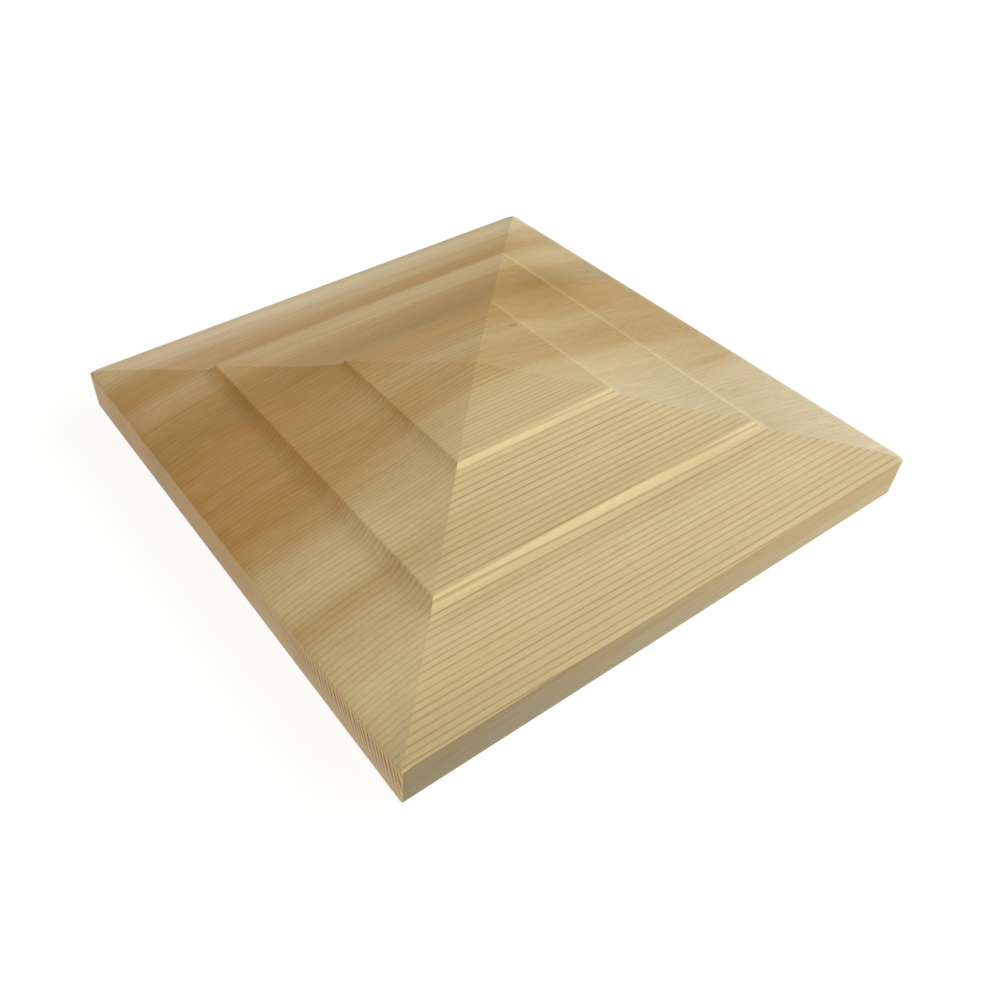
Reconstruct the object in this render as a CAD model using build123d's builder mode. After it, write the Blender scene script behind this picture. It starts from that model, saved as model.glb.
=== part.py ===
"""Pyramid post cap: one piece of softwood, moulded on top of a dressed board.

The cap is square, with a plain edge all round. From the edge inwards come an ogee, a
step, a hollow slope, a second step and a shallow pyramid. All four sides carry the
same moulding, so neighbouring sides meet on mitre lines along the diagonals.

Sizes are in millimetres. The origin is the centre of the flat underside, with +Z up.
"""

import math
import os

from build123d import *

# The dressed board that the cap is cut from
board_width = 139.7
board_thickness = 25.4

# Insets of the two lips from the outer edge
first_lip_inset = 24.5
second_lip_inset = 47.8

# Drops of the three zones, measured down from the peak
crown_drop = 3.3
slope_drop = 5.2
ogee_drop = 6.4

# The two risers below the lips
riser_angle = 55.0
first_riser_height = 2.2
second_riser_height = 1.3

# How far each zone's arc dips below its chord: the ogee swells, the other two are hollow
ogee_dip = -0.55
slope_dip = 0.58
crown_dip = 0.18

# Roundings left by the cutter and by light sanding
first_cove_radius = 4.5
second_cove_radius = 3.0
lip_radius = 0.6
corner_radius = 0.7
arris_radius = 0.35

# The most of a riser's length that its cove and its eased lip may take together
easing_share = 0.95

# Places worked out from the sizes above
half_width = board_width / 2
second_lip_height = board_thickness - crown_drop
first_lip_height = second_lip_height - slope_drop
edge_height = first_lip_height - ogee_drop
riser_turn = math.radians(riser_angle)


def section_point(inset: float, height: float) -> tuple[float, float]:
    """Turn an inset from the outer edge into a place in the half section."""
    return half_width - inset, height


def riser_foot(lip_inset: float, lip_height: float, riser_height: float) -> tuple[float, float]:
    """Find where a riser, sloping down and out from its lip, meets the zone outside it."""
    return section_point(lip_inset - riser_height / math.tan(riser_turn), lip_height - riser_height)


def cove_fit(
    zone_start: tuple[float, float],
    foot: tuple[float, float],
    dip: float,
    riser_height: float,
    radius: float,
) -> float:
    """Limit a cove's radius by the length that the eased lip leaves it on the riser.

    The cove is tangent to the riser and to the zone's arc, whose slope at the foot is
    that of its chord plus half the turn of the arc. The lip turns by no more than the
    riser's own angle, so its easing is never longer than is taken off here.

    Args:
        zone_start: Outer end of the zone's arc in the half section.
        foot: Inner end of the arc, at the foot of the riser.
        dip: How far the arc dips below its chord.
        riser_height: Height of the riser from foot to lip.
        radius: The radius that the cutter would leave.

    Returns:
        The radius, or the largest that leaves room for the eased lip.
    """
    run, rise = zone_start[0] - foot[0], foot[1] - zone_start[1]
    foot_turn = math.atan2(rise, run) + 2 * math.atan(2 * dip / math.hypot(run, rise))
    riser_length = riser_height / math.sin(riser_turn)
    cove_length = easing_share * riser_length - lip_radius * math.tan(riser_turn / 2)
    return min(radius, cove_length / math.tan((riser_turn - foot_turn) / 2))


# Corners of the half section, from the edge in to the peak
bottom_edge = section_point(0, 0)
edge = section_point(0, edge_height)
first_foot = riser_foot(first_lip_inset, first_lip_height, first_riser_height)
first_lip = section_point(first_lip_inset, first_lip_height)
second_foot = riser_foot(second_lip_inset, second_lip_height, second_riser_height)
second_lip = section_point(second_lip_inset, second_lip_height)
peak = (0, board_thickness)

# Radius of each rounding in the half section, by the corner that it rounds
eased_corners = {
    bottom_edge: arris_radius,
    edge: arris_radius,
    first_foot: cove_fit(edge, first_foot, ogee_dip, first_riser_height, first_cove_radius),
    first_lip: lip_radius,
    second_foot: cove_fit(
        first_lip, second_foot, slope_dip, second_riser_height, second_cove_radius
    ),
    second_lip: lip_radius,
}

with BuildPart() as post_cap:
    # The square is cut from the board with its upright corners eased
    with BuildSketch():
        RectangleRounded(board_width, board_width, corner_radius)
    extrude(amount=board_thickness)

    # The section is drawn as one half, with its coves, lips and arrises, and mirrored
    with BuildSketch(Plane.XZ) as section:
        with BuildLine():
            Polyline(peak, (0, 0), bottom_edge, edge)
            SagittaArc(edge, first_foot, ogee_dip)
            Line(first_foot, first_lip)
            SagittaArc(first_lip, second_foot, slope_dip)
            Line(second_foot, second_lip)
            SagittaArc(second_lip, peak, crown_dip)
        make_face()
        for corner, radius in eased_corners.items():
            fillet(section.vertices().sort_by_distance(corner)[0], radius)
        mirror(about=Plane.YZ)

    # The square is moulded along one pair of sides, then along the other pair
    extrude(amount=board_width, both=True, mode=Mode.INTERSECT)
    with BuildSketch(Plane.YZ):
        add(section.sketch_local)
    extrude(amount=board_width, both=True, mode=Mode.INTERSECT)

post_cap.part.label = "post_cap"

os.makedirs("parts", exist_ok=True)
export_step(post_cap.part, "parts/post_cap.step")

print("edge height", round(edge_height, 3))
print("volume", round(post_cap.part.volume), "box", post_cap.part.bounding_box())
print("solids", len(post_cap.part.solids()), "faces", len(post_cap.part.faces()))
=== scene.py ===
"""Pyramid post cap in pale softwood, standing on a white studio floor.

The cap is one piece of wood, so one closed surface stands for it. Its form is worked out
from the same sizes as the solid that it replaces, and its wood is one pattern in space,
so the annual rings run unbroken over the mitres and down the edges.

Lengths of the cap, its wood and the camera are in millimetres and are turned into metres
when they are made. Those of the studio are in metres. The origin is the centre of the
flat underside, with +X along the grain, +Y to the back and +Z up.
"""

import logging
import math
from dataclasses import dataclass
from enum import Enum
from functools import reduce

import bpy
import numpy as np
from mathutils import Matrix, Vector


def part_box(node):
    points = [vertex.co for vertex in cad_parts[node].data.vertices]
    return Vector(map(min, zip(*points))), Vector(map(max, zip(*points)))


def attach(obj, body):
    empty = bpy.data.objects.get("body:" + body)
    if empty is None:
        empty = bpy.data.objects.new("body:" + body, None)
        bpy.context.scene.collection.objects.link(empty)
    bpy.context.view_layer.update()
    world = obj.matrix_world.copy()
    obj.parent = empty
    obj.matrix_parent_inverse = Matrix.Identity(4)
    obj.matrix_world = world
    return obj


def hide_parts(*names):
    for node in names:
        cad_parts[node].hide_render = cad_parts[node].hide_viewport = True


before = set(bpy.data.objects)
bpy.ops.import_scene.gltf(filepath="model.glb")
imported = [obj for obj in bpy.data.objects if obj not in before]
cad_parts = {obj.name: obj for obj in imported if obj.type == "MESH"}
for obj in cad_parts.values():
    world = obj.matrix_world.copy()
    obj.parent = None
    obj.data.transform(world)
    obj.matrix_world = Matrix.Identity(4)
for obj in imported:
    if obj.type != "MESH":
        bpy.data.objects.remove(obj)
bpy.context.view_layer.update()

MM = 0.001
CAP_NODE = "post_cap"
CAP_BODY = "root"

log = logging.getLogger("post_cap")

Triple = tuple[float, float, float]
Colour = Triple
Stops = tuple[tuple[float, float], ...]

WHITE: Colour = (1.0, 1.0, 1.0)
WARM: Colour = (1.0, 0.95, 0.82)
COOL: Colour = (0.94, 0.98, 1.0)
COLD: Colour = (0.86, 0.94, 1.0)


class Slot(Enum):
    """Material slots of the record that a piece may take its finish from."""

    SOFTWOOD = "softwood"


class Wrap(Enum):
    """Which way the faces of a grid look."""

    UP = "up"
    DOWN = "down"


def disc_slide(heights: np.ndarray, step: float, radius: float, fills: bool) -> np.ndarray:
    """Round the corners of a height curve with a disc that slides along it.

    The curve is moved out by the disc and back again. In words: for each place, take the
    highest sum of a height and the disc's own height over it, and then the lowest
    difference the same way. Filling hollows takes the highest first, and easing ridges
    takes the lowest first.

    Args:
        heights: Heights at even steps.
        step: Distance between two heights.
        radius: Radius of the disc.
        fills: True to fill hollows, False to ease ridges.

    Returns:
        The heights with every hollow, or every ridge, at least as round as the disc.
    """
    reach = int(radius / step)
    offsets = np.arange(-reach, reach + 1) * step
    disc = np.sqrt(np.maximum(radius**2 - offsets**2, 0.0))

    def windows(values: np.ndarray) -> np.ndarray:
        """List the neighbours of every height, with the ends run on level."""
        padded = np.pad(values, reach, mode="edge")
        return np.lib.stride_tricks.sliding_window_view(padded, 2 * reach + 1)

    if fills:
        return (windows((windows(heights) + disc).max(axis=1)) - disc).min(axis=1)
    return (windows((windows(heights) - disc).min(axis=1)) + disc).max(axis=1)


def sagitta_height(
    inset: np.ndarray, start: tuple[float, float], end: tuple[float, float], dip: float
) -> np.ndarray:
    """Height of a circular arc from start to end that dips below its chord.

    The arc's radius is (quarter of the squared chord plus the squared dip) over twice the
    dip, and its centre stands over the middle of the chord.

    Args:
        inset: Insets at which the height is wanted.
        start: Inset and height of the arc's outer end.
        end: Inset and height of the arc's inner end.
        dip: How far the arc's middle lies below its chord; below nought, it swells.

    Returns:
        Heights of the arc, one for each inset.
    """
    run, rise = end[0] - start[0], end[1] - start[1]
    chord = math.hypot(run, rise)
    radius = (chord**2 / 4 + dip**2) / (2 * dip)
    centre_inset = (start[0] + end[0]) / 2 - rise / chord * (radius - dip)
    centre_height = (start[1] + end[1]) / 2 + run / chord * (radius - dip)
    reach = np.sqrt(np.maximum(radius**2 - (inset - centre_inset) ** 2, 0.0))
    return centre_height - math.copysign(1.0, radius) * reach


@dataclass
class Moulding:
    """The half section that all four sides share, from the edge in to the peak."""

    half_width: float
    thickness: float
    first_lip_inset: float = 24.5
    second_lip_inset: float = 47.8
    crown_drop: float = 3.3
    slope_drop: float = 5.2
    ogee_drop: float = 6.4
    riser_angle: float = 55.0
    first_riser_height: float = 2.2
    second_riser_height: float = 1.3
    ogee_dip: float = -0.55
    slope_dip: float = 0.58
    crown_dip: float = 0.18
    first_cove_radius: float = 4.5
    second_cove_radius: float = 3.0
    lip_radius: float = 0.6
    arris_radius: float = 0.35
    sample_step: float = 0.02
    second_zone_gap: float = 2.0
    steady_lines: float = 0.62
    arris_crowd: tuple[float, float] = (0.2, 9.0)
    lip_crowd: tuple[float, float] = (0.35, 7.0)
    first_cove_crowd: tuple[float, float] = (2.0, 1.6)
    second_cove_crowd: tuple[float, float] = (1.1, 2.0)

    @property
    def edge_height(self) -> float:
        """Height of the arris round the plain edge."""
        return self.thickness - self.crown_drop - self.slope_drop - self.ogee_drop

    @property
    def feet(self) -> tuple[tuple[float, float], tuple[float, float]]:
        """Inset and height of the foot of each riser."""
        fall = math.tan(math.radians(self.riser_angle))
        first_lip_height = self.edge_height + self.ogee_drop
        second_lip_height = first_lip_height + self.slope_drop
        return (
            (
                self.first_lip_inset - self.first_riser_height / fall,
                first_lip_height - self.first_riser_height,
            ),
            (
                self.second_lip_inset - self.second_riser_height / fall,
                second_lip_height - self.second_riser_height,
            ),
        )

    def sharp_heights(self, inset: np.ndarray) -> np.ndarray:
        """Heights of the section before its corners are rounded.

        Each zone is an arc between two corners, and each riser is a straight line from
        its foot to its lip.

        Args:
            inset: Insets from the outer edge.

        Returns:
            Heights over the underside.
        """
        first_foot, second_foot = self.feet
        first_lip = (self.first_lip_inset, self.edge_height + self.ogee_drop)
        second_lip = (self.second_lip_inset, first_lip[1] + self.slope_drop)
        peak = (self.half_width, self.thickness)
        ogee = sagitta_height(inset, (0.0, self.edge_height), first_foot, self.ogee_dip)
        slope = sagitta_height(inset, first_lip, second_foot, self.slope_dip)
        crown = sagitta_height(inset, second_lip, peak, self.crown_dip)
        risers = [
            np.interp(inset, (foot[0], lip[0]), (foot[1], lip[1]))
            for foot, lip in ((first_foot, first_lip), (second_foot, second_lip))
        ]
        return np.select(
            [
                inset < first_foot[0],
                inset < first_lip[0],
                inset < second_foot[0],
                inset < second_lip[0],
            ],
            [ogee, risers[0], slope, risers[1]],
            crown,
        )

    def eased_heights(self) -> tuple[np.ndarray, np.ndarray]:
        """Heights of the section with its coves filled and its lips eased.

        A disc of the first cove's radius fills the hollow outside the first lip. A disc
        of the second cove's radius fills the one outside the second lip, from a short
        gap inside the first. A disc of the lips' radius eases both ridges.

        Returns:
            Even insets from the edge to the peak, and the height at each.
        """
        inset = np.arange(0.0, self.half_width + self.sample_step, self.sample_step)
        heights = self.sharp_heights(np.minimum(inset, self.half_width))
        for lip_inset, radius, outer in (
            (self.first_lip_inset, self.first_cove_radius, 0.0),
            (
                self.second_lip_inset,
                self.second_cove_radius,
                self.first_lip_inset + self.second_zone_gap,
            ),
        ):
            zone = (inset >= outer) & (inset <= lip_inset)
            heights[zone] = disc_slide(heights[zone], self.sample_step, radius, True)
        inner = inset > self.arris_radius
        heights[inner] = disc_slide(heights[inner], self.sample_step, self.lip_radius, False)
        return inset, heights

    def height(self, inset: np.ndarray) -> np.ndarray:
        """Height of the moulded top at any inset, with the arris rounded.

        Near the edge the arris is an arc that is tangent to the wall and to the top. Its
        centre stands one radius in from the wall and one radius under the top.

        Args:
            inset: Insets from the outer edge.

        Returns:
            Heights over the underside.
        """
        places, heights = self.eased_heights()
        top = np.interp(inset, places, heights)
        slope = (heights[1] - heights[0]) / self.sample_step
        turn = math.atan(slope)
        radius = self.arris_radius
        centre = self.edge_height + slope * radius - radius / math.cos(turn)
        reach = np.clip(radius - inset, 0.0, radius)
        arc = centre + np.sqrt(radius**2 - reach**2)
        return np.where(inset < radius * (1 - math.sin(turn)), arc, top)

    def grid_insets(self) -> np.ndarray:
        """Insets of the grid lines, close together where the section turns.

        The number of lines up to an inset grows with the sum of a steady share and of
        smooth bumps round each place that turns, so lines crowd there. Each crowd is a
        bump's spread in millimetres and its height in lines per millimetre.

        Returns:
            Insets from nought to the peak, in rising order.
        """
        first_foot, second_foot = self.feet
        turns = (
            (0.0, self.arris_crowd),
            (first_foot[0], self.first_cove_crowd),
            (self.first_lip_inset, self.lip_crowd),
            (second_foot[0], self.second_cove_crowd),
            (self.second_lip_inset, self.lip_crowd),
        )
        places = np.arange(0.0, self.half_width, self.sample_step)
        crowd = np.full_like(places, self.steady_lines)
        for place, (spread, height) in turns:
            crowd += height * np.exp(-(((places - place) / spread) ** 2))
        counts = np.cumsum(crowd) * self.sample_step
        even_counts = np.linspace(counts[0], counts[-1], int(counts[-1]))
        return np.append(np.interp(even_counts, counts, places), self.half_width)


@dataclass
class CapBody:
    """The whole cap as one closed surface."""

    moulding: Moulding
    corner_radius: float = 0.7
    wall_rows: int = 14
    tip_reach: float = 2.4
    tip_drop: float = 0.55
    name: str = "cap_wood"
    mitre_tolerance: float = 1e-6
    sharp_angle: float = 40.0

    def plan(self) -> tuple[np.ndarray, np.ndarray]:
        """Lay out the grid in plan, with its four upright corners rounded.

        Grid lines stand at plus and minus every inset, so they cross on the diagonals.
        In each corner's square of one radius, a point at shares (u, v) of the radius
        goes to (u root(1 - v v / 2), v root(1 - u u / 2)), which bends the square's two
        outer sides into the corner's arc and leaves its inner sides alone.

        Returns:
            The x and the y of every grid point.
        """
        half = self.moulding.half_width
        inner = half - self.moulding.grid_insets()
        lines = np.concatenate([-inner, inner[-2::-1]])
        x, y = np.meshgrid(lines, lines, indexing="ij")
        start = half - self.corner_radius
        share_x = np.maximum(np.abs(x) - start, 0.0) / self.corner_radius
        share_y = np.maximum(np.abs(y) - start, 0.0) / self.corner_radius
        in_corner = (share_x > 0) & (share_y > 0)
        round_x = start + self.corner_radius * share_x * np.sqrt(1 - share_y**2 / 2)
        round_y = start + self.corner_radius * share_y * np.sqrt(1 - share_x**2 / 2)
        return (
            np.where(in_corner, np.sign(x) * round_x, x),
            np.where(in_corner, np.sign(y) * round_y, y),
        )

    def top_height(self, x: np.ndarray, y: np.ndarray) -> np.ndarray:
        """Height of the top, with its four tips softened by sanding.

        It is the section's height at the lesser of the two insets. Where the sum of both
        insets is less than the tips' reach, the squared share of the reach that is left
        is taken off, times the tips' drop.

        Args:
            x: Places along the grain.
            y: Places across it.

        Returns:
            Heights over the underside.
        """
        half = self.moulding.half_width
        inset_x = np.maximum(half - np.abs(x), 0.0)
        inset_y = np.maximum(half - np.abs(y), 0.0)
        left = np.maximum(self.tip_reach - inset_x - inset_y, 0.0) / self.tip_reach
        return self.moulding.height(np.minimum(inset_x, inset_y)) - self.tip_drop * left**2

    def underside_height(self, x: np.ndarray, y: np.ndarray) -> np.ndarray:
        """Height of the underside: level, with a quarter round up to the wall.

        The round is the radius less the root of its square less the squared reach.

        Args:
            x: Places along the grain.
            y: Places across it.

        Returns:
            Heights over the underside's level part.
        """
        half = self.moulding.half_width
        radius = self.moulding.arris_radius
        inset = np.maximum(half - np.maximum(np.abs(x), np.abs(y)), 0.0)
        reach = np.clip(radius - inset, 0.0, radius)
        return radius - np.sqrt(radius**2 - reach**2)

    @staticmethod
    def grid_faces(lines: int, first: int, wrap: Wrap) -> np.ndarray:
        """Join a square grid of points into triangles.

        Every cell is split along the diagonal that points at the grid's middle, so the
        splits in the cells on the mitres are the mitre lines themselves.

        Args:
            lines: Number of grid lines each way.
            first: Number of the grid's first point in the mesh.
            wrap: Which way the triangles look.

        Returns:
            Three point numbers for every triangle.
        """
        row, column = np.meshgrid(np.arange(lines - 1), np.arange(lines - 1), indexing="ij")
        near = first + row * lines + column
        corners = np.stack([near, near + lines, near + lines + 1, near + 1], axis=-1)
        middle = (lines - 1) / 2
        leans = ((row < middle) == (column < middle))[..., None]
        straight = np.concatenate([corners[..., [0, 1, 2]], corners[..., [0, 2, 3]]], axis=-1)
        crossed = np.concatenate([corners[..., [0, 1, 3]], corners[..., [1, 2, 3]]], axis=-1)
        faces = np.where(leans, straight, crossed).reshape(-1, 3)
        return faces if wrap is Wrap.UP else faces[:, ::-1]

    @staticmethod
    def outline(lines: int) -> np.ndarray:
        """Number the outer points of a grid.

        Args:
            lines: Number of grid lines each way.

        Returns:
            Their numbers, once round, counter-clockwise from above.
        """
        edge = np.arange(lines - 1)
        last = lines - 1
        return np.concatenate(
            [edge * lines, last * lines + edge, (last - edge) * lines + last, last - edge]
        )

    def surface(self) -> tuple[np.ndarray, np.ndarray]:
        """Work out the points and triangles of the closed surface.

        The top and the underside are heights over one plan grid. The wall joins their
        outlines by rows of points that share out the height between them evenly.

        Returns:
            Points in millimetres, and three point numbers for every triangle.
        """
        x, y = self.plan()
        lines = len(x)
        top = np.stack([x, y, self.top_height(x, y)], axis=-1).reshape(-1, 3)
        low = np.stack([x, y, self.underside_height(x, y)], axis=-1).reshape(-1, 3)
        rim = self.outline(lines)
        shares = np.linspace(0.0, 1.0, self.wall_rows + 1)[1:-1, None, None]
        wall = (low[rim] + (top[rim] - low[rim]) * shares).reshape(-1, 3)
        points = np.concatenate([top, low, wall])
        rings = np.concatenate(
            [
                (rim + len(top))[None],
                2 * len(top) + np.arange(len(wall)).reshape(-1, len(rim)),
                rim[None],
            ]
        )
        ahead = np.roll(rings, -1, axis=1)
        lower, upper = rings[:-1], rings[1:]
        lower_ahead, upper_ahead = ahead[:-1], ahead[1:]
        wall_faces = np.concatenate(
            [
                np.stack([lower, lower_ahead, upper_ahead], axis=-1).reshape(-1, 3),
                np.stack([lower, upper_ahead, upper], axis=-1).reshape(-1, 3),
            ]
        )
        faces = np.concatenate(
            [
                self.grid_faces(lines, 0, Wrap.UP),
                self.grid_faces(lines, len(top), Wrap.DOWN),
                wall_faces,
            ]
        )
        return points, faces

    def mark_mitres(self, mesh: bpy.types.Mesh, points: np.ndarray) -> None:
        """Keep the shading crisp on the mitre lines.

        An edge of the top is a mitre when both its ends lie on a diagonal of the plan.

        Args:
            mesh: The finished mesh.
            points: Its points in millimetres.
        """
        ends = np.empty(len(mesh.edges) * 2, dtype=np.int32)
        mesh.edges.foreach_get("vertices", ends)
        ends = ends.reshape(-1, 2)
        on_diagonal = np.abs(np.abs(points[:, 0]) - np.abs(points[:, 1])) < self.mitre_tolerance
        on_top = points[:, 2] > self.moulding.edge_height
        is_mitre = (on_diagonal & on_top)[ends].all(axis=1)
        mesh.set_sharp_from_angle(angle=math.radians(self.sharp_angle))
        sharp = mesh.attributes.get("sharp_edge")
        if sharp is None:
            sharp = mesh.attributes.new("sharp_edge", "BOOLEAN", "EDGE")
        marked = np.empty(len(mesh.edges), dtype=bool)
        sharp.data.foreach_get("value", marked)
        sharp.data.foreach_set("value", marked | is_mitre)

    def build(self) -> bpy.types.Object:
        """Make the cap's object from its surface.

        Returns:
            The object, at the origin, in metres.
        """
        points, faces = self.surface()
        mesh = bpy.data.meshes.new(self.name)
        mesh.vertices.add(len(points))
        mesh.vertices.foreach_set("co", (points * MM).ravel())
        mesh.loops.add(faces.size)
        mesh.loops.foreach_set("vertex_index", faces.ravel())
        mesh.polygons.add(len(faces))
        mesh.polygons.foreach_set("loop_start", np.arange(0, faces.size, 3))
        mesh.update(calc_edges=True)
        mesh.shade_smooth()
        self.mark_mitres(mesh, points)
        mesh.validate()
        piece = bpy.data.objects.new(self.name, mesh)
        bpy.context.scene.collection.objects.link(piece)
        return piece

    def dress(self, piece: bpy.types.Object, material: bpy.types.Material) -> None:
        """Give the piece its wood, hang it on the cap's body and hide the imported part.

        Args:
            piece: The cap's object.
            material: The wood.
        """
        piece.data.materials.append(material)
        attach(piece, CAP_BODY)
        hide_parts(CAP_NODE)
        log.info("%s: %d triangles", piece.name, len(piece.data.polygons))


class Mixed(Enum):
    """What a mix node mixes: its type, and the numbers of its first input and its output."""

    NUMBERS = ("FLOAT", 2, 0)
    COLOURS = ("RGBA", 6, 2)


@dataclass(frozen=True)
class Ramp:
    """A smooth step from one amount to another between two readings."""

    start: float
    end: float
    low: float = 0.0
    high: float = 1.0


@dataclass(frozen=True)
class Grain:
    """A smooth noise, by how fast it changes per millimetre along x, y and z."""

    pace: Triple
    detail: float = 1.0
    roughness: float = 0.5


@dataclass
class NodeBench:
    """Short ways to add nodes to one material and join them."""

    tree: bpy.types.NodeTree

    def add(self, kind: str, *values: object, **settings: object) -> bpy.types.Node:
        """Add a node, set its options and feed its inputs.

        Args:
            kind: Blender's name for the kind of node.
            values: Output sockets, numbers, vectors or colours for its first inputs.
            settings: Its options, by name.

        Returns:
            The node.
        """
        node = self.tree.nodes.new(kind)
        for name, value in settings.items():
            setattr(node, name, value)
        for socket, value in zip(node.inputs, values):
            self.put(socket, value)
        return node

    def put(self, socket: bpy.types.NodeSocket, value: object) -> None:
        """Join a socket to another one, or write a number, vector or colour into it.

        Args:
            socket: The input that is fed.
            value: An output socket, or what to write.
        """
        if isinstance(value, bpy.types.NodeSocket):
            self.tree.links.new(value, socket)
        elif isinstance(value, tuple) and len(value) == 3 and socket.type == "RGBA":
            socket.default_value = (*value, 1.0)
        else:
            socket.default_value = value

    def math(self, operation: str, *values: object) -> bpy.types.NodeSocket:
        """Do one sum on one, two or three numbers."""
        return self.add("ShaderNodeMath", *values, operation=operation).outputs[0]

    def product(self, *values: object) -> bpy.types.NodeSocket:
        """Multiply two or more numbers."""
        return reduce(lambda first, second: self.math("MULTIPLY", first, second), values)

    def parts(self, vector: object) -> tuple[bpy.types.NodeSocket, ...]:
        """Take a vector apart into its x, y and z."""
        return tuple(self.add("ShaderNodeSeparateXYZ", vector).outputs)

    def scaled(self, vector: object, factors: Triple) -> bpy.types.NodeSocket:
        """Multiply a vector by three factors, for its x, y and z."""
        return self.add("ShaderNodeVectorMath", vector, factors, operation="MULTIPLY").outputs[0]

    def noise(self, place: object, grain: Grain) -> bpy.types.NodeSocket:
        """Read a smooth noise.

        Args:
            place: Where it is read, in millimetres.
            grain: How fast and how finely it changes.

        Returns:
            The noise, from nought to one.
        """
        node = self.add("ShaderNodeTexNoise", noise_dimensions="3D")
        self.put(node.inputs["Vector"], self.scaled(place, grain.pace))
        self.put(node.inputs["Scale"], 1.0)
        self.put(node.inputs["Detail"], grain.detail)
        self.put(node.inputs["Roughness"], grain.roughness)
        return node.outputs[0]

    def span(
        self,
        value: object,
        start: float,
        end: float,
        low: float = 0.0,
        high: float = 1.0,
        smooth: bool = False,
    ) -> bpy.types.NodeSocket:
        """Carry a number from one range to another, held at both ends.

        Args:
            value: The number.
            start: The number that gives the low amount.
            end: The number that gives the high amount.
            low: Amount at the start.
            high: Amount at the end.
            smooth: True for a step that starts and ends level, False for a straight one.

        Returns:
            The amount.
        """
        kind = "SMOOTHSTEP" if smooth else "LINEAR"
        reading = (value, start, end, low, high)
        return self.add("ShaderNodeMapRange", *reading, interpolation_type=kind).outputs[0]

    def ramp(self, value: object, ramp: Ramp) -> bpy.types.NodeSocket:
        """Read a ramp at a number."""
        return self.span(value, ramp.start, ramp.end, ramp.low, ramp.high, smooth=True)

    def mixed(
        self, kind: Mixed, share: object, first: object, second: object, way: str = "MIX"
    ) -> bpy.types.NodeSocket:
        """Mix two numbers or two colours.

        Args:
            kind: What is mixed.
            share: How far to go, from nought to one.
            first: What a share of nought gives.
            second: What is mixed in.
            way: Blender's name for the way of mixing colours.

        Returns:
            The mixture.
        """
        data_type, first_input, output = kind.value
        node = self.add("ShaderNodeMix", data_type=data_type, blend_type=way)
        self.put(node.inputs[0], share)
        self.put(node.inputs[first_input], first)
        self.put(node.inputs[first_input + 1], second)
        return node.outputs[output]

    def blend(self, share: object, first: object, second: object) -> bpy.types.NodeSocket:
        """Go from the first colour to the second by a share."""
        return self.mixed(Mixed.COLOURS, share, first, second)

    def mix(self, share: object, first: object, second: object) -> bpy.types.NodeSocket:
        """Go from the first number to the second by a share."""
        return self.mixed(Mixed.NUMBERS, share, first, second)

    def tint(self, share: object, colour: object, factor: Colour) -> bpy.types.NodeSocket:
        """Multiply a colour by a factor, by a share."""
        return self.mixed(Mixed.COLOURS, share, colour, factor, way="MULTIPLY")

    def curve(self, value: object, stops: Stops) -> bpy.types.NodeSocket:
        """Read a smooth curve through stops.

        Args:
            value: Where it is read, from nought to one.
            stops: Place and amount of each stop, in rising order.

        Returns:
            The amount.
        """
        node = self.add("ShaderNodeValToRGB", value)
        ramp = node.color_ramp
        ramp.interpolation = "EASE"
        for number, (place, amount) in enumerate(stops):
            stop = ramp.elements[number] if number < 2 else ramp.elements.new(place)
            stop.position = place
            stop.color = (amount, amount, amount, 1.0)
        return node.outputs[0]


@dataclass(frozen=True)
class Streak:
    """A short dark mark in the wood, in millimetres, longest along the grain."""

    centre: tuple[float, float]
    half_length: float
    half_breadth: float
    strength: float


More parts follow.
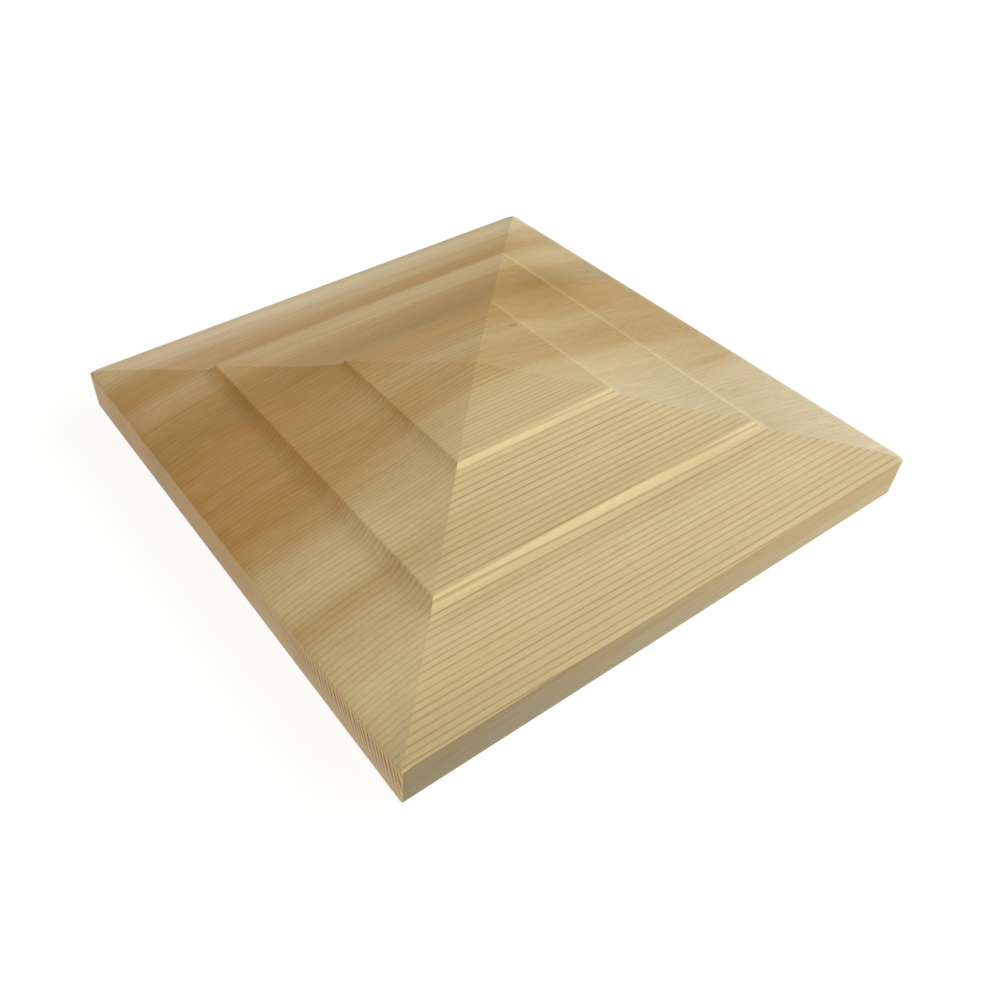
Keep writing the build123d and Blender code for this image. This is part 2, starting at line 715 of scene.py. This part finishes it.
@dataclass(frozen=True)
class Softwood:
    """Close-grained pale softwood, sawn nearly on the quarter, with brown heart bands.

    The bands' stops run from the back edge, at 0, to the front edge, at 1, and say how
    brown the wood is there. Tints are factors that the colour is multiplied by. A ramp's
    readings are millimetres along x, y or z, shares of a ring, or parts of the normal.
    """

    side: float

    # Colours of the plain wood, and how brown it is in bands along the grain
    sapwood: Colour = (0.675, 0.545, 0.30)
    heart: Colour = (0.405, 0.195, 0.012)
    left_bands: Stops = (
        (0.00, 0.50), (0.04, 0.45), (0.10, 0.90), (0.13, 0.96), (0.18, 0.70), (0.21, 0.78),
        (0.24, 0.93), (0.30, 0.95), (0.34, 0.97), (0.38, 0.92), (0.44, 0.89), (0.54, 0.87),
        (0.59, 0.69), (0.64, 0.29), (0.69, 0.13), (0.71, 0.23), (0.74, 0.51), (0.76, 0.44),
        (0.79, 0.26), (0.85, 0.14), (0.89, 0.10), (0.92, 0.18), (0.96, 0.26), (1.00, 0.30),
    )
    middle_bands: Stops = (
        (0.00, 0.40), (0.035, 0.03), (0.06, 0.16), (0.09, 0.46), (0.14, 0.78), (0.165, 0.40),
        (0.19, 0.30), (0.215, 0.42), (0.24, 0.74), (0.30, 0.88), (0.34, 0.79), (0.39, 0.70),
        (0.44, 0.46), (0.49, 0.60), (0.53, 0.54), (0.565, 0.25), (0.61, 0.15), (0.70, 0.09),
        (0.76, 0.10), (0.835, 0.16), (0.885, 0.04), (0.94, 0.13), (1.00, 0.20),
    )
    right_bands: Stops = (
        (0.00, 0.40), (0.035, 0.00), (0.06, 0.14), (0.09, 0.42), (0.14, 0.58), (0.19, 0.28),
        (0.215, 0.34), (0.25, 0.56), (0.31, 0.64), (0.39, 0.74), (0.44, 0.67), (0.54, 0.72),
        (0.57, 0.60), (0.635, 0.55), (0.69, 0.27), (0.76, 0.27), (0.86, 0.28), (0.94, 0.26),
        (1.00, 0.24),
    )
    left_to_middle: Ramp = Ramp(-62.0, 0.0)
    middle_to_right: Ramp = Ramp(42.0, 66.0)
    # Painted light: the left side of the top is made paler towards the front
    left_front_painted_light: Ramp = Ramp(-66.0, -36.0, 0.16, 0.0)
    edge_heart: Ramp = Ramp(0.8, 0.95, 1.0, 0.5)
    band_waver: Grain = Grain((0.015, 0.05, 0.05))
    band_shift: float = 2.5
    mottle: Grain = Grain((0.03, 0.3, 0.3), detail=3.0)
    mottle_reach: tuple[float, float] = (0.25, 0.75)
    mottle_depth: float = 0.06

    # Annual rings round a pith far off the front edge
    pith: tuple[float, float] = (-302.0, 72.5)
    ring_breadth: float = 1.38
    grain_turn: float = 0.012
    broad_bend: Grain = Grain((0.008, 0.022, 0.022))
    broad_push: float = 1.6
    finer_bend: Grain = Grain((0.045, 0.16, 0.16))
    finer_push: float = 0.16
    uneven_pace: float = 0.22
    uneven_push: float = 0.9
    middle_belt: Ramp = Ramp(-27.0, 0.0, 0.0, 7.0)
    front_belt: Ramp = Ramp(-74.0, -45.0, 0.0, 1.9)

    # The latewood line of each ring, and how clearly it shows
    latewood_tint: Colour = (0.60, 0.53, 0.42)
    late_start: Ramp = Ramp(0.60, 0.90)
    late_end: Ramp = Ramp(0.92, 1.0, 1.0, 0.0)
    weakest_line: float = 0.65
    line_fading: Grain = Grain((0.03, 0.5, 0.5))
    line_fade: Ramp = Ramp(0.3, 0.7, 0.7, 1.0)
    mitre_step: Ramp = Ramp(-0.15, 0.15)
    grain_side_contrast: Ramp = Ramp(-29.0, -18.0, 1.0, 0.64)
    riser_contrast: Ramp = Ramp(0.32, 0.55, 0.0, 0.61)
    left_contrast: float = 0.55
    right_contrast: float = 0.28
    left_to_right: Ramp = Ramp(-1.0, 1.0)
    wall_face: Ramp = Ramp(0.8, 0.95)
    end_wall_contrast: float = 0.1
    side_wall_contrast: float = 0.25

    # Ring ends on the left edge face
    tick_tint: Colour = (0.24, 0.16, 0.08)
    tick_start: Ramp = Ramp(0.35, 0.75)
    tick_end: Ramp = Ramp(0.8, 1.0, 1.0, 0.0)
    tick_rise: Ramp = Ramp(1.5, 8.0, 0.22, 1.0)
    tick_top: Ramp = Ramp(8.6, 9.9, 1.0, 0.3)
    tick_fade: Ramp = Ramp(-62.0, 14.0, 1.0, 0.0)
    tick_face: Ramp = Ramp(0.6, 0.9)

    # Fibres, speckle and single marks
    fibre: Grain = Grain((0.07, 3.2, 3.2), detail=2.0, roughness=0.6)
    fibre_share: Ramp = Ramp(0.3, 0.7, 0.0, 0.16)
    fibre_tint: Colour = (0.55, 0.48, 0.40)
    broad_fibre: Grain = Grain((0.02, 0.7, 0.7), detail=2.0)
    broad_fibre_share: Ramp = Ramp(0.3, 0.7, 0.0, 0.14)
    broad_fibre_tint: Colour = (0.60, 0.52, 0.42)
    speckle: Grain = Grain((1.6, 4.0, 4.0), detail=2.0, roughness=0.7)
    speckle_share: Ramp = Ramp(0.3, 0.7, 0.0, 0.10)
    speckle_tint: Colour = (0.60, 0.55, 0.50)
    streaks: tuple[Streak, ...] = (
        Streak(centre=(19.5, 9.6), half_length=1.3, half_breadth=0.5, strength=0.55),
        Streak(centre=(58.0, -19.4), half_length=9.0, half_breadth=1.6, strength=0.22),
        Streak(centre=(58.0, 22.9), half_length=14.0, half_breadth=0.28, strength=0.25),
        Streak(centre=(-60.0, 38.1), half_length=15.0, half_breadth=0.28, strength=0.50),
        Streak(centre=(-36.0, 23.0), half_length=12.0, half_breadth=0.25, strength=0.25),
    )
    streak_edge: float = 1.6
    streak_waver: Grain = Grain((0.05, 0.05, 0.05))
    streak_shift: float = 3.0
    streak_tint: Colour = (0.50, 0.38, 0.28)

    # Tints of the edge faces, with painted shade on the front and back ones, a belt of painted
    # shade behind the middle, and painted shade on the top along its front and right rims
    end_face: Ramp = Ramp(0.55, 0.9)
    end_tint: Colour = (1.0, 0.93, 0.95)
    tinted_wall: Ramp = Ramp(0.8, 0.97)
    # Painted shade on the front and back edge faces, strongest at the left end
    side_wall_shade_fade: Ramp = Ramp(-70.0, 66.0, 1.0, 0.50)
    side_wall_shade_tint: Colour = (0.39, 0.43, 0.50)
    edge_top: Ramp = Ramp(1.0, 9.0)
    edge_top_tint: Colour = (0.98, 0.90, 0.74)
    # Painted shade in a belt across the grain behind the middle, for the shaded cove on the back
    # side
    shade_belt_start: Ramp = Ramp(22.0, 27.0)
    shade_belt_end: Ramp = Ramp(32.0, 37.0, 1.0, 0.0)
    shade_belt_tint: Colour = (0.88, 0.94, 0.98)
    # Painted shade on the top along the front edge, most towards the left corner, and along the
    # right side
    front_shade_edge: Ramp = Ramp(-69.0, -58.0, 1.0, 0.0)
    front_shade_fade: Ramp = Ramp(-66.0, -20.0, 1.0, 0.45)
    right_shade_front: Ramp = Ramp(-32.0, -6.0, 0.5, 0.0)
    right_shade_rim: Ramp = Ramp(59.0, 69.0, 0.0, 0.8)
    rim_shade_tint: Colour = (0.86, 0.92, 0.98)

    # Gloss and relief
    roughness: tuple[float, float] = (0.45, 0.59)
    fibre_reach: tuple[float, float] = (0.2, 0.8)
    line_gloss: float = 0.07
    gloss: float = 0.32
    refraction: float = 1.5
    line_relief: float = 0.5
    fibre_relief: float = 0.35
    speckle_relief: float = 0.25
    relief_strength: float = 0.35
    relief_depth: float = 0.03

    def material(self) -> bpy.types.Material:
        """Make the wood.

        Returns:
            The material, which reads object coordinates and the surface's own normal.
        """
        material = bpy.data.materials.new("softwood")
        material.use_nodes = True
        pattern = WoodPattern(self, NodeBench(material.node_tree))
        pattern.build(material.node_tree.nodes["Principled BSDF"])
        return material


@dataclass
class WoodPattern:
    """The nodes of the softwood: x runs along the grain, and y across it to the back."""

    wood: Softwood
    bench: NodeBench

    def __post_init__(self) -> None:
        """Read the place in millimetres, its parts, and how far the surface is upright."""
        bench = self.bench
        where = bench.add("ShaderNodeTexCoord")
        self.place = bench.scaled(where.outputs["Object"], (1 / MM, 1 / MM, 1 / MM))
        self.x, self.y, self.z = bench.parts(self.place)
        facing_x, facing_y, _ = bench.parts(where.outputs["Normal"])
        self.left_face = bench.product(facing_x, -1.0)
        self.end_face = bench.math("ABSOLUTE", facing_x)
        self.side_face = bench.math("ABSOLUTE", facing_y)
        self.wall = bench.math("MAXIMUM", self.end_face, self.side_face)

    def past_mitre(self, outward: object) -> bpy.types.NodeSocket:
        """Step over the mitres that bound a side cut across the grain.

        Args:
            outward: A reading of x that grows towards the side's edge.

        Returns:
            One on that side and nought elsewhere.
        """
        lead = self.bench.math("SUBTRACT", outward, self.bench.math("ABSOLUTE", self.y))
        return self.bench.ramp(lead, self.wood.mitre_step)

    def ring_radius(self) -> bpy.types.NodeSocket:
        """Distance from the pith, bent a little as real rings are.

        The distance is taken across the grain, from a line along x far off the front
        edge. It turns slowly along the grain, and two noises, one broad and one finer,
        push it to and fro.

        Returns:
            The distance in millimetres.
        """
        bench, wood = self.bench, self.wood
        across = bench.math("SUBTRACT", self.y, wood.pith[0])
        upward = bench.math("SUBTRACT", self.z, wood.pith[1])
        squared = bench.math("MULTIPLY_ADD", across, across, bench.product(upward, upward))
        radius = bench.math("MULTIPLY_ADD", self.x, wood.grain_turn, bench.math("SQRT", squared))
        for bend, push in ((wood.broad_bend, wood.broad_push), (wood.finer_bend, wood.finer_push)):
            radius = bench.math("MULTIPLY_ADD", bench.noise(self.place, bend), push, radius)
        return radius

    def ring_number(self) -> bpy.types.NodeSocket:
        """Count of the rings from the pith, which grows by one over each ring.

        It is the distance over the ring breadth, with a noise in it that makes rings
        uneven. The rings are narrower in a belt just in front of the middle, and a
        little narrower near the front edge. A smooth step across each of these two
        belts adds the rings that this brings.

        Returns:
            The count, with its part of a ring.
        """
        bench, wood = self.bench, self.wood
        radius = self.ring_radius()
        uneven = bench.add("ShaderNodeTexNoise", noise_dimensions="1D")
        bench.put(uneven.inputs["W"], radius)
        bench.put(uneven.inputs["Scale"], wood.uneven_pace)
        bench.put(uneven.inputs["Detail"], 0.0)
        spread = bench.math("MULTIPLY_ADD", uneven.outputs[0], wood.uneven_push, radius)
        for belt in (wood.middle_belt, wood.front_belt):
            spread = bench.math("ADD", spread, bench.ramp(self.y, belt))
        return bench.math("DIVIDE", spread, wood.ring_breadth)

    def late_lines(self, number: object) -> bpy.types.NodeSocket:
        """Darkness of the latewood line at each place, from nought to one.

        Within a ring the line darkens slowly and ends at once, and each ring has a
        strength of its own that changes along the grain.

        Args:
            number: Count of the rings.

        Returns:
            The darkness.
        """
        bench, wood = self.bench, self.wood
        share = bench.math("FRACT", number)
        own = bench.add("ShaderNodeTexWhiteNoise", noise_dimensions="1D")
        bench.put(own.inputs["W"], bench.math("FLOOR", number))
        return bench.product(
            bench.ramp(share, wood.late_start),
            bench.ramp(share, wood.late_end),
            bench.span(own.outputs[0], 0.0, 1.0, wood.weakest_line, 1.0),
            bench.ramp(bench.noise(self.place, wood.line_fading), wood.line_fade),
        )

    def line_contrast(self) -> bpy.types.NodeSocket:
        """How clearly the latewood lines show on each side of the cap.

        They show best on the front side, which is cut along the grain, less on its crown
        and on the back side, about as well on the left side, best there on its risers,
        and least on the right side and on the edge faces.

        Returns:
            The factor for the lines' darkness.
        """
        bench, wood = self.bench, self.wood
        riser = bench.ramp(self.end_face, wood.riser_contrast)
        left = bench.math("MAXIMUM", riser, wood.left_contrast)
        left = bench.mix(bench.ramp(self.end_face, wood.wall_face), left, wood.end_wall_contrast)
        cross_sides = bench.mix(bench.ramp(self.x, wood.left_to_right), left, wood.right_contrast)
        grain_sides = bench.ramp(self.y, wood.grain_side_contrast)
        is_cross = self.past_mitre(bench.math("ABSOLUTE", self.x))
        contrast = bench.mix(is_cross, grain_sides, cross_sides)
        is_side_wall = bench.ramp(self.side_face, wood.wall_face)
        return bench.mix(is_side_wall, contrast, wood.side_wall_contrast)

    def edge_ticks(self, number: object) -> bpy.types.NodeSocket:
        """Darkness of the ring ends on the left edge face, from nought to one.

        They are broad, and strongest a little under the arris and near the front, and
        they fade out behind the middle of the side.

        Args:
            number: Count of the rings.

        Returns:
            The darkness.
        """
        bench, wood = self.bench, self.wood
        share = bench.math("FRACT", number)
        return bench.product(
            bench.ramp(share, wood.tick_start),
            bench.ramp(share, wood.tick_end),
            bench.ramp(self.z, wood.tick_rise),
            bench.ramp(self.z, wood.tick_top),
            bench.ramp(self.y, wood.tick_fade),
            bench.ramp(self.left_face, wood.tick_face),
        )

    def heart_share(self) -> bpy.types.NodeSocket:
        """How brown the wood is, from nought to one.

        The bands lie along the grain. One curve gives them at the left edge, one in the
        middle and one at the right edge, and the share goes smoothly from each to the
        next. Near the front the left side is made a little paler, which is painted light,
        and the left and right edge faces are paler all along.

        Returns:
            The share.
        """
        bench, wood = self.bench, self.wood
        waver = bench.math("SUBTRACT", bench.noise(self.place, wood.band_waver), 0.5)
        shifted = bench.math("MULTIPLY_ADD", waver, wood.band_shift, self.y)
        from_back = bench.span(shifted, wood.side / 2, -wood.side / 2)
        left, middle, right = (
            bench.curve(from_back, bands)
            for bands in (wood.left_bands, wood.middle_bands, wood.right_bands)
        )
        share = bench.mix(bench.ramp(self.x, wood.left_to_middle), left, middle)
        share = bench.mix(bench.ramp(self.x, wood.middle_to_right), share, right)
        is_left = self.past_mitre(bench.product(self.x, -1.0))
        # Painted light: the left side is made paler near the front
        painted_light = bench.product(is_left, bench.ramp(self.y, wood.left_front_painted_light))
        share = bench.math("SUBTRACT", share, painted_light)
        mottle = bench.span(
            bench.noise(self.place, wood.mottle),
            *wood.mottle_reach,
            -wood.mottle_depth,
            wood.mottle_depth,
        )
        edge = bench.ramp(self.end_face, wood.edge_heart)
        return bench.product(bench.math("ADD", share, mottle), edge)

    def streak_share(self) -> bpy.types.NodeSocket:
        """Darkness of the few single marks, from nought to one.

        Each mark is an ellipse in plan: it fades out with the squared distance from its
        centre, with the two axes measured in half lengths and half breadths.

        Returns:
            The greatest darkness of any mark there.
        """
        bench, wood = self.bench, self.wood
        waver = bench.math("SUBTRACT", bench.noise(self.place, wood.streak_waver), 0.5)
        shifted = bench.math("MULTIPLY_ADD", waver, wood.streak_shift, self.y)
        total: object = 0.0
        for streak in wood.streaks:
            offset_x = bench.math("SUBTRACT", self.x, streak.centre[0])
            offset_y = bench.math("SUBTRACT", shifted, streak.centre[1])
            along = bench.math("DIVIDE", offset_x, streak.half_length)
            across = bench.math("DIVIDE", offset_y, streak.half_breadth)
            squared = bench.math("MULTIPLY_ADD", along, along, bench.product(across, across))
            mark = bench.ramp(squared, Ramp(wood.streak_edge, 0.0, 0.0, streak.strength))
            total = bench.math("MAXIMUM", total, mark)
        return total

    def rim_shade_share(self) -> bpy.types.NodeSocket:
        """Share of painted shade on top, near the front edge and on the right side.

        Returns:
            The share, from nought to one.
        """
        bench, wood = self.bench, self.wood
        front = bench.product(
            bench.ramp(self.y, wood.front_shade_edge), bench.ramp(self.x, wood.front_shade_fade)
        )
        right = bench.product(self.past_mitre(self.x), bench.ramp(self.y, wood.right_shade_front))
        right = bench.math("MAXIMUM", right, bench.ramp(self.x, wood.right_shade_rim))
        is_top = bench.math("SUBTRACT", 1.0, bench.ramp(self.wall, wood.tinted_wall))
        return bench.product(bench.math("MAXIMUM", front, right), is_top)

    def build(self, shader: bpy.types.Node) -> None:
        """Join the whole pattern to the shader.

        The colour goes from sapwood to heart, and each tint then multiplies it by its own
        share. Three of the tints are painted shade: on the front and back edge faces, in a
        belt behind the middle, and along the front and right rims of the top. The
        roughness and the relief follow the fibres and the lines.

        Args:
            shader: The material's surface shader.
        """
        bench, wood = self.bench, self.wood
        number = self.ring_number()
        lines = self.late_lines(number)
        fibre, broad_fibre, speckle = (
            bench.noise(self.place, grain) for grain in (wood.fibre, wood.broad_fibre, wood.speckle)
        )
        tinted_wall = bench.ramp(self.wall, wood.tinted_wall)
        # Painted shade on the front and back edge faces
        shaded_side = bench.ramp(self.side_face, wood.tinted_wall)
        # A belt of painted shade behind the middle
        belt = bench.product(bench.ramp(self.y, wood.shade_belt_start), bench.ramp(self.y, wood.shade_belt_end))
        colour = bench.blend(self.heart_share(), wood.sapwood, wood.heart)
        for share, factor in (
            (bench.ramp(fibre, wood.fibre_share), wood.fibre_tint),
            (bench.ramp(broad_fibre, wood.broad_fibre_share), wood.broad_fibre_tint),
            (bench.ramp(speckle, wood.speckle_share), wood.speckle_tint),
            (bench.product(lines, self.line_contrast()), wood.latewood_tint),
            (self.streak_share(), wood.streak_tint),
            (self.edge_ticks(number), wood.tick_tint),
            (bench.ramp(self.end_face, wood.end_face), wood.end_tint),
            # painted shade on the front and back edge faces, strongest at the left end
            (bench.product(shaded_side, bench.ramp(self.x, wood.side_wall_shade_fade)), wood.side_wall_shade_tint),
            (bench.product(tinted_wall, bench.ramp(self.z, wood.edge_top)), wood.edge_top_tint),
            # painted shade in a belt behind the middle
            (belt, wood.shade_belt_tint),
            # painted shade along the front and right rims of the top
            (self.rim_shade_share(), wood.rim_shade_tint),
        ):
            colour = bench.tint(share, colour, factor)
        bench.put(shader.inputs["Base Color"], colour)

        dull = bench.ramp(fibre, Ramp(*wood.fibre_reach, *wood.roughness))
        dull = bench.math("SUBTRACT", dull, bench.product(lines, wood.line_gloss))
        bench.put(shader.inputs["Roughness"], dull)
        bench.put(shader.inputs["IOR"], wood.refraction)
        bench.put(shader.inputs["Specular IOR Level"], wood.gloss)

        relief = bench.product(speckle, wood.speckle_relief)
        relief = bench.math("MULTIPLY_ADD", fibre, wood.fibre_relief, relief)
        relief = bench.math("MULTIPLY_ADD", lines, wood.line_relief, relief)
        bump = bench.add("ShaderNodeBump")
        bench.put(bump.inputs["Strength"], wood.relief_strength)
        bench.put(bump.inputs["Distance"], wood.relief_depth * MM)
        bench.put(bump.inputs["Height"], relief)
        bench.put(shader.inputs["Normal"], bump.outputs[0])


@dataclass(frozen=True)
class SoftBox:
    """A square soft lamp that looks at the cap, with its sizes in metres."""

    name: str
    azimuth: float
    elevation: float
    level: float
    colour: Colour = WHITE
    distance: float = 1.1
    side: float = 0.8

    def build(self) -> bpy.types.Object:
        """Hang the lamp.

        The power is the level at which the lamp alone would light a surface that faces
        it, times pi twice and the squared distance.

        Returns:
            The lamp's object.
        """
        lamp = bpy.data.lights.new(self.name, "AREA")
        lamp.shape = "SQUARE"
        lamp.size = self.side
        lamp.energy = self.level * (math.pi * self.distance) ** 2
        lamp.color = self.colour
        turn, rise = math.radians(self.azimuth), math.radians(self.elevation)
        away = Vector(
            (
                math.sin(turn) * math.cos(rise),
                -math.cos(turn) * math.cos(rise),
                math.sin(rise),
            )
        )
        item = bpy.data.objects.new(self.name, lamp)
        item.location = away * self.distance
        item.rotation_mode = "QUATERNION"
        item.rotation_quaternion = away.to_track_quat("Z", "Y")
        bpy.context.scene.collection.objects.link(item)
        return item


@dataclass(frozen=True)
class PhotoCamera:
    """The camera at the photograph's place, worked out from the cap's straight lines.

    Its place is given from the middle of the square that the arris round the edge makes.
    """

    arris_height: float
    image_side: float = 1000.0
    focal_pixels: float = 976.94
    centre_pixel: tuple[float, float] = (392.07, 508.60)
    place: Triple = (-118.730, -141.604, 149.872)
    right: Triple = (0.824196, -0.566155, -0.013018)
    up: Triple = (0.406145, 0.574925, 0.710287)
    back: Triple = (-0.394648, -0.590703, 0.703791)
    sensor: float = 36.0
    clip_start: float = 10.0
    clip_end: float = 50000.0

    def build(self) -> bpy.types.Object:
        """Set the camera up and make it the scene's own.

        Returns:
            The camera's object.
        """
        data = bpy.data.cameras.new("camera")
        data.sensor_width = self.sensor
        data.lens = self.focal_pixels / self.image_side * self.sensor
        data.shift_x = 0.5 - self.centre_pixel[0] / self.image_side
        data.shift_y = self.centre_pixel[1] / self.image_side - 0.5
        data.clip_start = self.clip_start * MM
        data.clip_end = self.clip_end * MM
        item = bpy.data.objects.new("camera", data)
        turned = Matrix((self.right, self.up, self.back)).transposed().to_4x4()
        spot = Vector(self.place) + Vector((0.0, 0.0, self.arris_height))
        item.matrix_world = Matrix.Translation(spot * MM) @ turned
        bpy.context.scene.collection.objects.link(item)
        bpy.context.scene.camera = item
        return item


@dataclass
class Studio:
    """White floor, white surroundings and soft lamps, with their sizes in metres."""

    floor_half: float = 4.0
    floor_gap: float = 0.00005
    floor_seen: float = 0.28
    floor_lift: Ramp = Ramp(0.5, 1.4, 0.80, 1.0)
    floor_bounce: float = 0.85
    world_level: float = 0.03
    lamps: tuple[SoftBox, ...] = (
        SoftBox("front_lamp", azimuth=0, elevation=16, level=0.27, colour=COOL),
        SoftBox("front_right_lamp", azimuth=45, elevation=22, level=0.60, colour=COOL),
        SoftBox("right_lamp", azimuth=90, elevation=22, level=0.70, colour=COLD),
        SoftBox("back_lamp", azimuth=180, elevation=22, level=0.42),
        SoftBox("left_lamp", azimuth=315, elevation=22, level=0.335, colour=WARM),
        SoftBox("high_left_lamp", azimuth=315, elevation=50, level=0.28, colour=WARM),
    )

    def floor(self) -> bpy.types.Object:
        """Lay the floor, which the camera sees as white with the cap's soft shadow on it.

        It lies a hair under the cap. Farther off, the floor's own light makes up for the
        lamps' falling off, so the floor is white out to the horizon.

        Returns:
            The floor's object.
        """
        half, drop = self.floor_half, -self.floor_gap
        mesh = bpy.data.meshes.new("floor")
        corners = [(x * half, y * half, drop) for x, y in ((-1, -1), (1, -1), (1, 1), (-1, 1))]
        mesh.from_pydata(corners, [], [(0, 1, 2, 3)])
        item = bpy.data.objects.new("floor", mesh)
        bpy.context.scene.collection.objects.link(item)
        material = bpy.data.materials.new("floor_white")
        material.use_nodes = True
        bench = NodeBench(material.node_tree)
        shader = material.node_tree.nodes["Principled BSDF"]
        seen = self.seen_white(bench)
        bounce, white = (self.floor_bounce,) * 3, (self.floor_seen,) * 3
        bench.put(shader.inputs["Base Color"], bench.blend(seen, bounce, white))
        bench.put(shader.inputs["Emission Color"], WHITE)
        where = bench.add("ShaderNodeTexCoord")
        distance = bench.add("ShaderNodeVectorMath", where.outputs["Object"], operation="LENGTH")
        lift = bench.ramp(distance.outputs["Value"], self.floor_lift)
        bench.put(shader.inputs["Emission Strength"], bench.product(seen, lift))
        bench.put(shader.inputs["Roughness"], 1.0)
        bench.put(shader.inputs["Specular IOR Level"], 0.0)
        mesh.materials.append(material)
        return item

    @staticmethod
    def seen_white(bench: NodeBench) -> bpy.types.NodeSocket:
        """Find what the camera sees straight, or by way of gloss or glass.

        Args:
            bench: The node bench of the material or the world.

        Returns:
            One for such light, or nought.
        """
        rays = bench.add("ShaderNodeLightPath").outputs
        gloss = bench.math("MAXIMUM", rays["Is Glossy Ray"], rays["Is Transmission Ray"])
        return bench.math("MAXIMUM", rays["Is Camera Ray"], gloss)

    def surroundings(self) -> None:
        """Make the world white to the camera and an even soft light to the cap."""
        world = bpy.data.worlds.new("surroundings")
        bpy.context.scene.world = world
        world.use_nodes = True
        bench = NodeBench(world.node_tree)
        sky = world.node_tree.nodes["Background"]
        seen = self.seen_white(bench)
        level = (self.world_level,) * 3
        bench.put(sky.inputs["Color"], bench.blend(seen, level, WHITE))
        bench.put(sky.inputs["Strength"], 1.0)

    def build(self) -> None:
        """Make the floor, the surroundings and the lamps."""
        self.floor()
        self.surroundings()
        for lamp in self.lamps:
            item = lamp.build()
            log.info("%s hung at %s", item.name, [round(part, 3) for part in item.location])


def main() -> None:
    """Build the camera, the cap and the studio from the sizes of the imported part."""
    logging.basicConfig(level=logging.INFO, format="%(name)s: %(message)s")
    low, high = (np.array(corner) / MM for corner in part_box(CAP_NODE))
    moulding = Moulding(half_width=float(high[0]), thickness=float(high[2] - low[2]))
    PhotoCamera(arris_height=moulding.edge_height).build()
    body = CapBody(moulding)
    piece = body.build()
    body.dress(piece, Softwood(side=2 * moulding.half_width).material())
    Studio().build()
    bpy.context.scene.view_settings.view_transform = "Standard"


if __name__ == "__main__":
    main()
